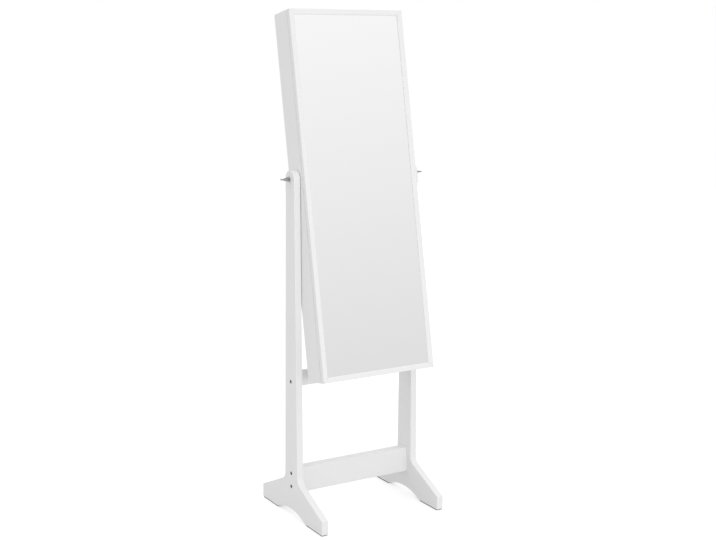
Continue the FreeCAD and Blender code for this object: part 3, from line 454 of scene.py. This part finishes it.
ringRoll = {
    "length": 0.1228, "radius": 0.01045, "endRadius": 0.0098, "nose": 0.0034,
    "sides": 48, "rows": 26, "noseSteps": 4, "smoothUpTo": 60,
    "left": -0.1654, "depth": 0.016, "highest": 0.287, "pitch": 0.0215, "count": 8,
    "gather": [(0.0009, 0.0012), (0.00045, 0.003)],     # the end is pulled in at its middle
    "flatTo": 0.9,              # from the rim to the end's flat middle, in nose radii
    "crownPower": 4,            # how suddenly it narrows towards its ends
    "seamDepth": 0.0004,        # the seam runs along the back
    "seamWidth": 0.09,          # radians
    "softness": 0.00018,        # uneven filling
    "lumps": 90,                # how closely it varies
    "evenWithin": 0.004,        # the middle of an end stays even
}


def makeRingRolls():
    look = ringRoll
    length = look["length"]
    nose = look["nose"]
    end = look["gather"] + [(0, look["endRadius"] - nose * look["flatTo"])]
    for step in range(1, look["noseSteps"] + 1):
        angle = math.radians(90 * step / look["noseSteps"])
        end.append((nose * (1 - math.cos(angle)), look["endRadius"] - nose * (1 - math.sin(angle))))
    rings = list(end)
    for step in range(1, look["rows"]):
        share = step / look["rows"]
        crown = 1 - (2 * share - 1) ** look["crownPower"]
        rings.append((nose + (length - nose * 2) * share,
                      look["endRadius"] + (look["radius"] - look["endRadius"]) * crown))
    rings += [(length - height, radius) for height, radius in reversed(end)]
    roll = turnForm("ringRoll", rings, look)
    for vertex in roll.data.vertices:
        place = vertex.co
        around = math.atan2(place.y, place.x)
        seam = math.exp(-(around / look["seamWidth"]) ** 2) * look["seamDepth"]
        radial = Vector((place.x, place.y, 0))
        if radial.length > look["evenWithin"]:
            uneven = noise.noise(place * look["lumps"]) * look["softness"]
            place += radial.normalized() * (uneven - seam - look["softness"] * 0.5)
    places = []
    for number in range(look["count"]):
        at = (look["left"], look["depth"], look["highest"] - look["pitch"] * number)
        turn = Matrix.Rotation(math.radians(90), 4, "Y")
        places.append(Matrix.Translation(at) @ turn @ Matrix.Rotation(math.radians(90), 4, "Z"))
    piece = layOut(roll, "ringRolls", places)
    mount(piece, "ring_rolls")


makeRingRolls()
print("ring rolls made")

# necklace hooks: bent wire with a ball tip, each in its own rose

necklaceHook = {
    "wire": 0.0012, "reach": 0.011, "bend": 0.005, "bendSteps": 8, "tip": 0.0035,
    "sides": 12, "smoothUpTo": 50,
    "ball": 0.0018, "ballRows": (-50, -20, 10, 40, 65, 82),
    "ballRise": 0.77,        # the ball's middle above the wire's end, in radii
    "rose": {
        "rings": [(0, 0.004), (0.0008, 0.004), (0.0011, 0.0037), (0.0012, 0.0032), (0.0009, 0.0027),
                  (0.0009, 0.0018)],
        "sides": 28, "smoothUpTo": 30,
    },
    "first": -0.010, "pitch": 0.023, "count": 8, "height": 0.286, "railFront": 0.018,
}


def selectedVertices(piece):
    return [vertex for vertex in bmesh.from_edit_mesh(piece.data).verts if vertex.select]


def makeNecklaceHooks():
    look = necklaceHook
    rose = turnForm("hookRose", look["rose"]["rings"], look["rose"])
    hook = startDisc("hookWire", look["wire"], look["sides"])
    bpy.ops.mesh.extrude_region_move(TRANSFORM_OT_translate={"value": (0, 0, look["reach"])})
    bpy.ops.mesh.spin(steps=look["bendSteps"], angle=math.radians(90),
                      center=(0, look["bend"], look["reach"]), axis=(1, 0, 0))
    top = look["bend"] + look["tip"]
    bpy.ops.mesh.extrude_region_move(TRANSFORM_OT_translate={"value": (0, look["tip"], 0)})
    outwards = look["reach"] + look["bend"]
    before = look["wire"]
    for degrees in look["ballRows"]:
        angle = math.radians(degrees)
        rise = look["ball"] * (math.sin(angle) + look["ballRise"])
        width = look["ball"] * math.cos(angle)
        bpy.ops.mesh.extrude_region_move()
        middle = top + rise
        lowest = min(vertex.co.y for vertex in selectedVertices(hook))
        bpy.ops.transform.translate(value=(0, middle - lowest, 0))
        bpy.ops.transform.resize(value=(width / before, 1, width / before),
                                 center_override=(0, middle, outwards))
        before = width
    finishForm(look["smoothUpTo"])
    only(rose)
    hook.select_set(True)
    bpy.ops.object.join()
    # the pattern reaches along +Z with its tip towards +Y: it turns to reach out of the rail, tip up
    outOfRail = Matrix.Rotation(math.radians(90), 4, "X")
    places = []
    for number in range(look["count"]):
        at = (look["first"] + look["pitch"] * number, look["railFront"], look["height"])
        places.append(Matrix.Translation(at) @ outOfRail)
    piece = layOut(rose, "necklaceHooks", places)
    mount(piece, "necklace_hooks")


makeNecklaceHooks()
print("necklace hooks made")

# small screws and door fittings

slottedHead = {
    "rings": [(-0.0003, 0.0026), (0.00006, 0.0026), (0.00016, 0.0024)],
    "sides": 24, "smoothUpTo": 30, "slot": 0.00065, "slotDepth": 0.0004,
    "levelWithin": 1e-6,        # how near a face lies to the head's top to count as a part of it
}
hingeScrews = {
    "heights": (0.388, -0.053, -0.496), "spread": 0.0175, "across": (0.1772, 0.1802, 0.1772),
    "caseLeaf": -0.0332, "doorLeaf": -0.0338,
    "seed": 7,                  # for the way each slot lies
}
doorFittings = {
    "across": 0.1775, "bumperHeights": (0.448, -0.556), "strikeHeights": (0.428, -0.536),
    "bumper": {
        "rings": [(0, 0.004), (0.00035, 0.0039), (0.0006, 0.0034), (0.0008, 0.0025), (0.00088, 0.0014)],
        "sides": 32, "smoothUpTo": 60,
    },
    "strike": {"rings": [(0, 0.006), (0.0006, 0.006), (0.0008, 0.0057)], "sides": 40, "smoothUpTo": 30},
    "caseFront": -0.033, "doorBack": -0.034, "strikeFace": -0.0332,
}


def makeSlottedHead():
    look = slottedHead
    head = turnForm("slottedHead", look["rings"], look)
    only(head)
    bpy.ops.object.mode_set(mode="EDIT")
    for side in (-1, 1):
        bpy.ops.mesh.select_all(action="SELECT")
        bpy.ops.mesh.bisect(plane_co=(0, look["slot"] / 2 * side, 0), plane_no=(0, 1, 0))
    mesh = bmesh.from_edit_mesh(head.data)
    top = look["rings"][-1][0]
    for face in mesh.faces:
        middle = face.calc_center_median()
        face.select = abs(middle.z - top) < look["levelWithin"] and abs(middle.y) < look["slot"] / 2
    mesh.select_flush_mode()
    bmesh.update_edit_mesh(head.data)
    bpy.ops.mesh.extrude_region_move(TRANSFORM_OT_translate={"value": (0, 0, -look["slotDepth"])})
    finishForm(look["smoothUpTo"])
    return head


def ridePlain(piece, body, slot):
    # a small piece with no node of its own
    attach(piece, body)
    piece.data.materials.clear()
    piece.data.materials.append(materials[slot])


def makeHingeScrews():
    look = hingeScrews
    turns = random.Random(look["seed"])
    for name, level, axis, body in (("caseHingeScrews", look["caseLeaf"], (0, -1, 0), "cabinet"),
                                    ("doorHingeScrews", look["doorLeaf"], (0, 1, 0), "door")):
        places = []
        for height in look["heights"]:
            for step, across in enumerate(look["across"], start=-1):
                at = (across, level, height + look["spread"] * step)
                spin = Matrix.Rotation(turns.uniform(0, math.pi), 4, "Z")
                places.append(facing(at, axis) @ spin)
        ridePlain(layOut(makeSlottedHead(), name, places), body, "chrome")


def makeDoorFittings():
    look = doorFittings
    bumper = turnForm("bumper", look["bumper"]["rings"], look["bumper"])
    places = [facing((look["across"] * side, look["caseFront"], height), (0, -1, 0))
              for side in (-1, 1) for height in look["bumperHeights"]]
    mount(layOut(bumper, "doorBumpers", places), "door_bumpers")
    strike = turnForm("strike", look["strike"]["rings"], look["strike"])
    places = [facing((-look["across"], look["doorBack"], height), (0, 1, 0))
              for height in look["strikeHeights"]]
    mount(layOut(strike, "strikePlates", places), "strike_plates")
    places = [facing((-look["across"], look["strikeFace"], height), (0, 1, 0))
              for height in look["strikeHeights"]]
    ridePlain(layOut(makeSlottedHead(), "strikeScrews", places), "door", "hidden_steel")


makeHingeScrews()
makeDoorFittings()
print("fittings made")

# studio

studio = {
    "floorSize": 14,
    "floorLevel": -0.0003,              # just under the felt pads
    "floorColour": (0.66, 0.66, 0.66),
    "floorRough": 0.9,
    "floorGlow": 0.48,                  # what the camera and the mirror see besides the lit floor
    "surround": 0.68,                   # light from all round
    "surroundLean": (-0.02, 0, 0.44),   # how much stronger it is from the right and from above
    "mirrorLow": 0.775,                 # surround that the mirror shows level with it
    "mirrorHigh": 1.04,                 # and well above it
    "mirrorRise": 0.36,                 # from the first to the second, as a sine of the angle
    "horizonFade": 0.05,                # from white below the horizon to the first
    "key": {"at": (-1.3, -6.6, 1.5), "aim": (0, 0, 0.8), "size": 2.4, "power": 110},
}


def makeFloor():
    bpy.ops.object.select_all(action="DESELECT")
    bpy.ops.mesh.primitive_plane_add(size=studio["floorSize"], location=(0, 0, studio["floorLevel"]))
    floor = bpy.context.active_object
    floor.name = "floor"
    material = bpy.data.materials.new("studioFloor")
    material.use_nodes = True
    tree = material.node_tree
    link = tree.links.new
    shader = tree.nodes["Principled BSDF"]
    shader.inputs["Base Color"].default_value = (*studio["floorColour"], 1)
    shader.inputs["Roughness"].default_value = studio["floorRough"]
    shader.inputs["Specular IOR Level"].default_value = 0
    path = addNode(tree, "ShaderNodeLightPath")
    seen = addNode(tree, "ShaderNodeMath", operation="MAXIMUM")
    link(path.outputs["Is Camera Ray"], seen.inputs[0])
    link(path.outputs["Is Glossy Ray"], seen.inputs[1])
    glow = addNode(tree, "ShaderNodeMath", operation="MULTIPLY")
    link(seen.outputs[0], glow.inputs[0])
    glow.inputs[1].default_value = studio["floorGlow"]
    shader.inputs["Emission Color"].default_value = (1, 1, 1, 1)
    link(glow.outputs[0], shader.inputs["Emission Strength"])
    floor.data.materials.append(material)


def makeWorld():
    world = bpy.data.worlds.new("studio")
    bpy.context.scene.world = world
    world.use_nodes = True
    tree = world.node_tree
    link = tree.links.new
    background = tree.nodes["Background"]
    path = addNode(tree, "ShaderNodeLightPath")
    place = addNode(tree, "ShaderNodeTexCoord")
    apart = addNode(tree, "ShaderNodeSeparateXYZ")
    link(place.outputs["Generated"], apart.inputs[0])
    rise = addNode(tree, "ShaderNodeMapRange")
    rise.inputs["From Min"].default_value = 0
    rise.inputs["From Max"].default_value = studio["mirrorRise"]
    rise.inputs["To Min"].default_value = studio["mirrorLow"]
    rise.inputs["To Max"].default_value = studio["mirrorHigh"]
    link(apart.outputs["Z"], rise.inputs["Value"])
    # below the horizon the mirror sees white, as the floor is, and it fades out just above
    low = addNode(tree, "ShaderNodeMapRange", interpolation_type="SMOOTHSTEP")
    low.inputs["From Min"].default_value = 0
    low.inputs["From Max"].default_value = studio["horizonFade"]
    low.inputs["To Min"].default_value = 1
    low.inputs["To Max"].default_value = 0
    link(apart.outputs["Z"], low.inputs["Value"])
    reflected = addNode(tree, "ShaderNodeMix", data_type="FLOAT")
    link(low.outputs["Result"], reflected.inputs["Factor"])
    link(rise.outputs["Result"], reflected.inputs["A"])
    reflected.inputs["B"].default_value = 1
    sided = addNode(tree, "ShaderNodeVectorMath", operation="DOT_PRODUCT")
    link(place.outputs["Generated"], sided.inputs[0])
    sided.inputs[1].default_value = studio["surroundLean"]
    allRound = addNode(tree, "ShaderNodeMath", operation="ADD")
    link(sided.outputs["Value"], allRound.inputs[0])
    allRound.inputs[1].default_value = studio["surround"]
    glossy = addNode(tree, "ShaderNodeMix", data_type="FLOAT")
    link(allRound.outputs[0], glossy.inputs["A"])
    link(path.outputs["Is Glossy Ray"], glossy.inputs["Factor"])
    link(reflected.outputs["Result"], glossy.inputs["B"])
    camera = addNode(tree, "ShaderNodeMix", data_type="FLOAT")
    link(path.outputs["Is Camera Ray"], camera.inputs["Factor"])
    link(glossy.outputs["Result"], camera.inputs["A"])
    camera.inputs["B"].default_value = 1
    link(camera.outputs["Result"], background.inputs["Strength"])
    background.inputs["Color"].default_value = (1, 1, 1, 1)


def makeLamp(name, lamp):
    light = bpy.data.lights.new(name, "AREA")
    light.shape = "SQUARE"
    light.size = lamp["size"]
    light.energy = lamp["power"]
    holder = bpy.data.objects.new(name, light)
    bpy.context.scene.collection.objects.link(holder)
    holder.location = lamp["at"]
    aim = Vector(lamp["aim"]) - Vector(lamp["at"])
    holder.rotation_euler = aim.to_track_quat("-Z", "Y").to_euler()
    holder.visible_glossy = False


makeFloor()
makeWorld()
makeLamp("key", studio["key"])

# camera

cameraPlace = {
    "at": (-1.8306, -3.0607, 1.3768),
    "turn": 31.131,        # to the right of straight ahead, degrees
    "down": 10.488,
    "roll": 0.289,
    "lens": 62.47,
    "sensor": 36,
    "sees": 60,            # how far, metres
}


def makeCamera():
    data = bpy.data.cameras.new("camera")
    camera = bpy.data.objects.new("camera", data)
    bpy.context.scene.collection.objects.link(camera)
    data.sensor_width = cameraPlace["sensor"]
    data.lens = cameraPlace["lens"]
    data.clip_end = cameraPlace["sees"]
    camera.matrix_world = (
        Matrix.Translation(cameraPlace["at"])
        @ Matrix.Rotation(-math.radians(cameraPlace["turn"]), 4, "Z")
        @ Matrix.Rotation(math.radians(90 - cameraPlace["down"]), 4, "X")
        @ Matrix.Rotation(math.radians(cameraPlace["roll"]), 4, "Z"))
    bpy.context.scene.camera = camera


makeCamera()
bpy.context.scene.view_settings.view_transform = "Standard"
print("studio and camera ready")
